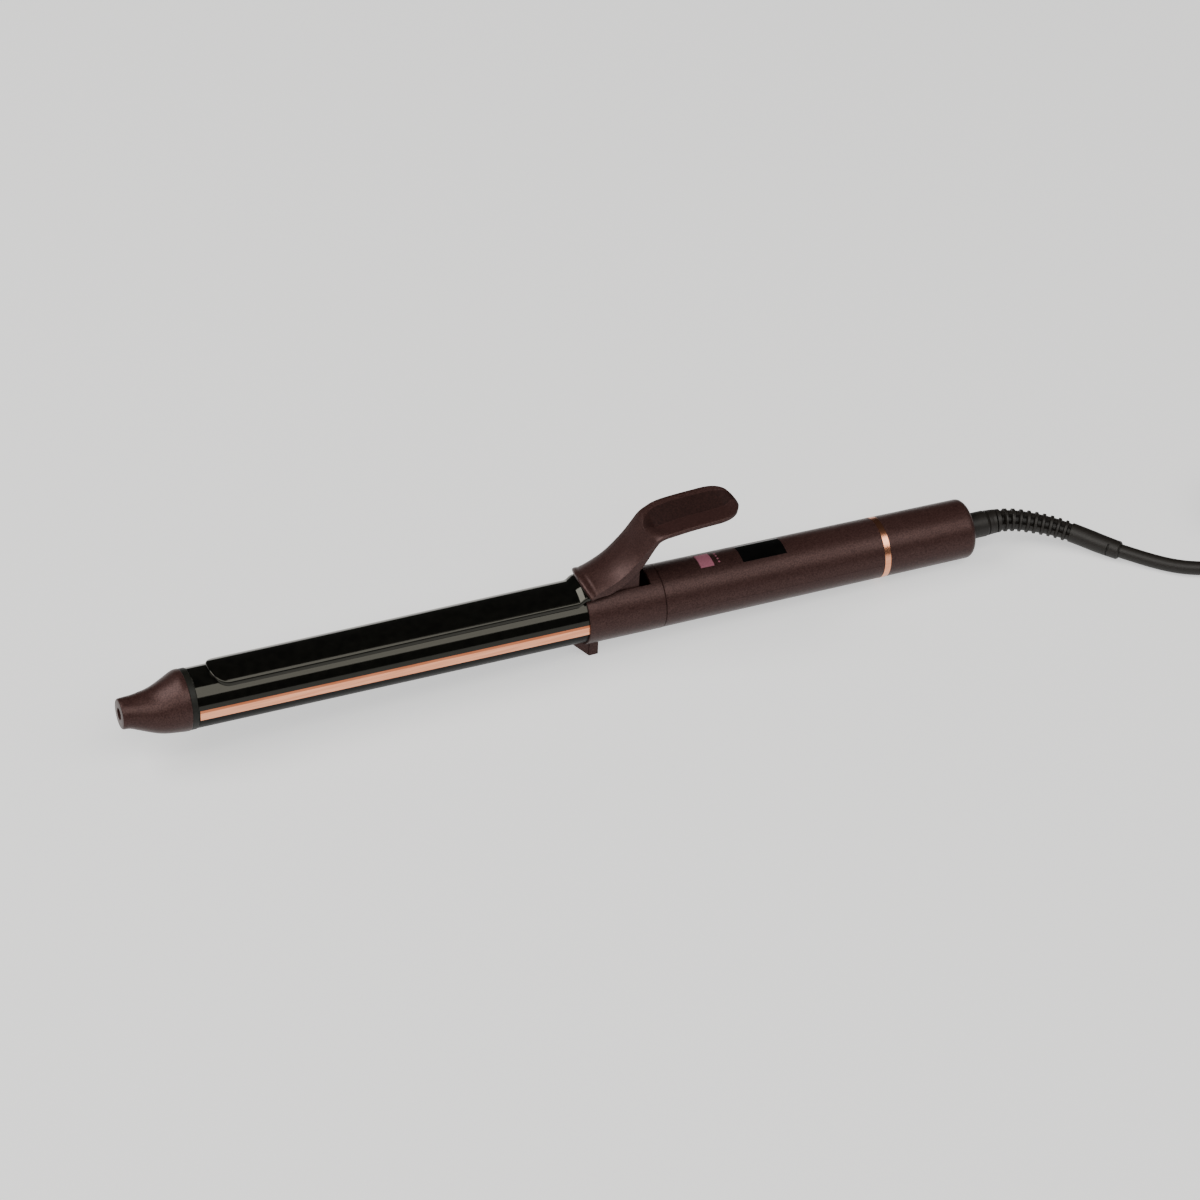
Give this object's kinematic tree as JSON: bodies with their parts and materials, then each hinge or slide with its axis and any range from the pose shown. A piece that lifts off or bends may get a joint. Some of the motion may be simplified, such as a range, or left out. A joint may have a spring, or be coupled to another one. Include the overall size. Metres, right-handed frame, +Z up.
{
  "type": "curling iron",
  "caption": "Slim hair curling iron with a sprung clip and thumb lever, stand foot, button, display window and a swivelling cord in a hank.",
  "frame": {"origin": "on the table under the middle of the iron, without its cord", "axes": "+X from the tip towards the handle and the cord, +Z up, as the iron rests on its stand foot and the rear edge of its handle"},
  "size_m": [0.7415, 0.0881, 0.0597],
  "materials": {
    "plum_plastic": "satin soft-touch plum brown",
    "black_enamel": "gloss black enamel on aluminium",
    "rose_gold": "polished rose gold",
    "steel": "plain",
    "spreader_aluminium": "extruded",
    "ceramic": "unglazed",
    "dark_ring": "matt olive black",
    "lead_sleeve": "silicone sleeve",
    "board": "solder mask",
    "switch_black": "matt",
    "window_gloss": "gloss black",
    "pink_print": "dusty pink",
    "pad": "fine-grained dark plum",
    "cord_black": "matt black",
    "tie": "matt black",
    "pin_metal": "nickel-plated brass"
  },
  "bodies": {
    "iron": {"tip_cap": "plum_plastic", "tip_screw": "steel", "tip_bush": "ceramic", "seal_ring": "dark_ring", "barrel": "black_enamel", "near_strip": "rose_gold", "far_strip": "rose_gold", "heater_plates": "ceramic", "heat_spreader_upper": "spreader_aluminium", "heat_spreader_lower": "spreader_aluminium", "thermal_fuse": "steel", "temperature_sensor": "ceramic", "barrel_bush": "ceramic", "heater_leads": "lead_sleeve", "front_collar": "plum_plastic", "hinge_pin": "steel", "clip_spring": "steel", "handle_upper": "plum_plastic", "handle_lower": "plum_plastic", "shell_screws": "steel", "circuit_board": "board", "button_switch": "switch_black", "display_module": "switch_black", "button_spring": "steel", "indicator_dots": "pink_print", "display_window": "window_gloss", "rose_ring": "rose_gold", "rear_cap": "plum_plastic", "swivel_bearing": "cord_black"},
    "lever": {"clip_plate": "black_enamel", "thumb_lever": "plum_plastic", "lever_pad": "pad", "clip_rivets": "steel"},
    "button": {"power_button": "pink_print"},
    "cord": {"swivel_collar": "cord_black", "strain_relief": "cord_black", "power_cord": "cord_black", "cord_hank": "cord_black", "cord_tail": "cord_black", "cord_tie": "tie", "plug_body": "cord_black", "plug_pins": "pin_metal"}
  },
  "joints": [
    {"name": "clip_hinge", "type": "hinge", "parent": "iron", "child": "lever", "pos_m": [0.02225, 0, 0.02597], "axis": [0, 1, 0], "range_deg": [0, 20], "stiffness_Nm_per_rad": 0.15, "springref_deg": -34.38, "deforming": ["clip_spring"]},
    {"name": "button_press", "type": "slide", "parent": "iron", "child": "button", "axis": [-0.0384, 0, -0.9993], "range_m": [0, 0.0006], "stiffness_N_per_m": 800, "springref_m": -0.0005, "deforming": ["button_spring"]},
    {"name": "cord_swivel", "type": "hinge", "parent": "iron", "child": "cord", "pos_m": [0.18686, 0, 0.01264], "axis": [0.9993, 0, -0.0384], "continuous": true}
  ]
}
